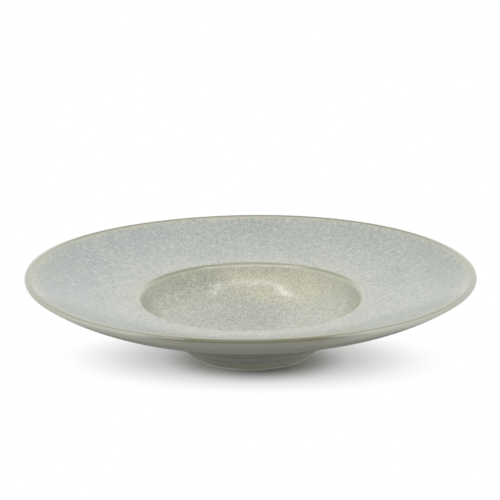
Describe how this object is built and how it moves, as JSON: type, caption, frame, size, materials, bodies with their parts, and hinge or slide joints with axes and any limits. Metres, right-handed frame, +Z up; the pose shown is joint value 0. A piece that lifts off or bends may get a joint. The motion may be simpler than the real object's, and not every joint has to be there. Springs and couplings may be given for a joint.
{
  "type": "wide-rimmed bowl",
  "caption": "Round stoneware bowl with a wide dished rim, a deep well and a low foot ring, speckled pale glaze on its face and plain sage glaze outside.",
  "frame": {"origin": "centre of the foot's standing ring, on the table", "axes": "+Z up along the axis that the bowl is turned about, +X and +Y square to it, with nothing to tell them apart"},
  "size_m": [0.28, 0.28, 0.055],
  "materials": {
    "stoneware": "matte bare clay",
    "speckled_glaze": "glossy, blue-grey and cream with fine darker speckles",
    "sage_glaze": "glossy plain grey-green"
  },
  "bodies": {
    "root": {"clay_body": "stoneware", "foot_ring": "stoneware", "face_glaze": "speckled_glaze", "outside_glaze": "sage_glaze", "recess_glaze": "sage_glaze"}
  },
  "joints": []
}
